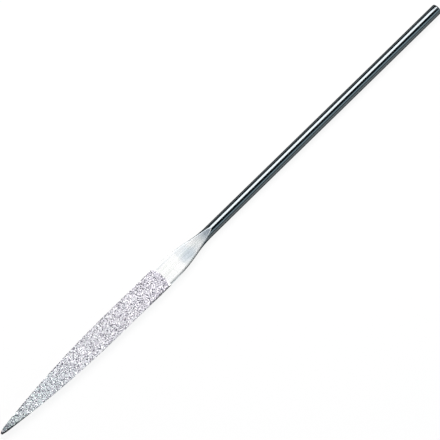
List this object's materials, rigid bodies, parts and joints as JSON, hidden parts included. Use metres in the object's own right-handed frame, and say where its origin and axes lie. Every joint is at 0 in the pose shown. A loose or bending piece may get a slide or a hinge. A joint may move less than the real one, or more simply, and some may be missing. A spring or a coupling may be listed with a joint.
{
  "type": "diamond needle file",
  "caption": "Half-round needle file with a plain round shank and a blade coated with nickel-bonded diamond grit.",
  "frame": {"origin": "under the middle of the length and width, at the lowest line of the file", "axes": "+X from the blade's tip to the butt end of the shank, +Y across the blade, +Z out of the flat face"},
  "size_m": [0.215, 0.0086, 0.004],
  "materials": {
    "tool_steel": "hardened tool steel, polished on the shank, ground lengthwise on the neck",
    "nickel_plate": "satin electroplated nickel between the grains",
    "diamond_grains": "single layer of pale synthetic diamond grains, clear to dark"
  },
  "bodies": {
    "root": {"steel_blank": "tool_steel", "nickel_bond": "nickel_plate", "diamond_grit": "diamond_grains"}
  },
  "joints": []
}
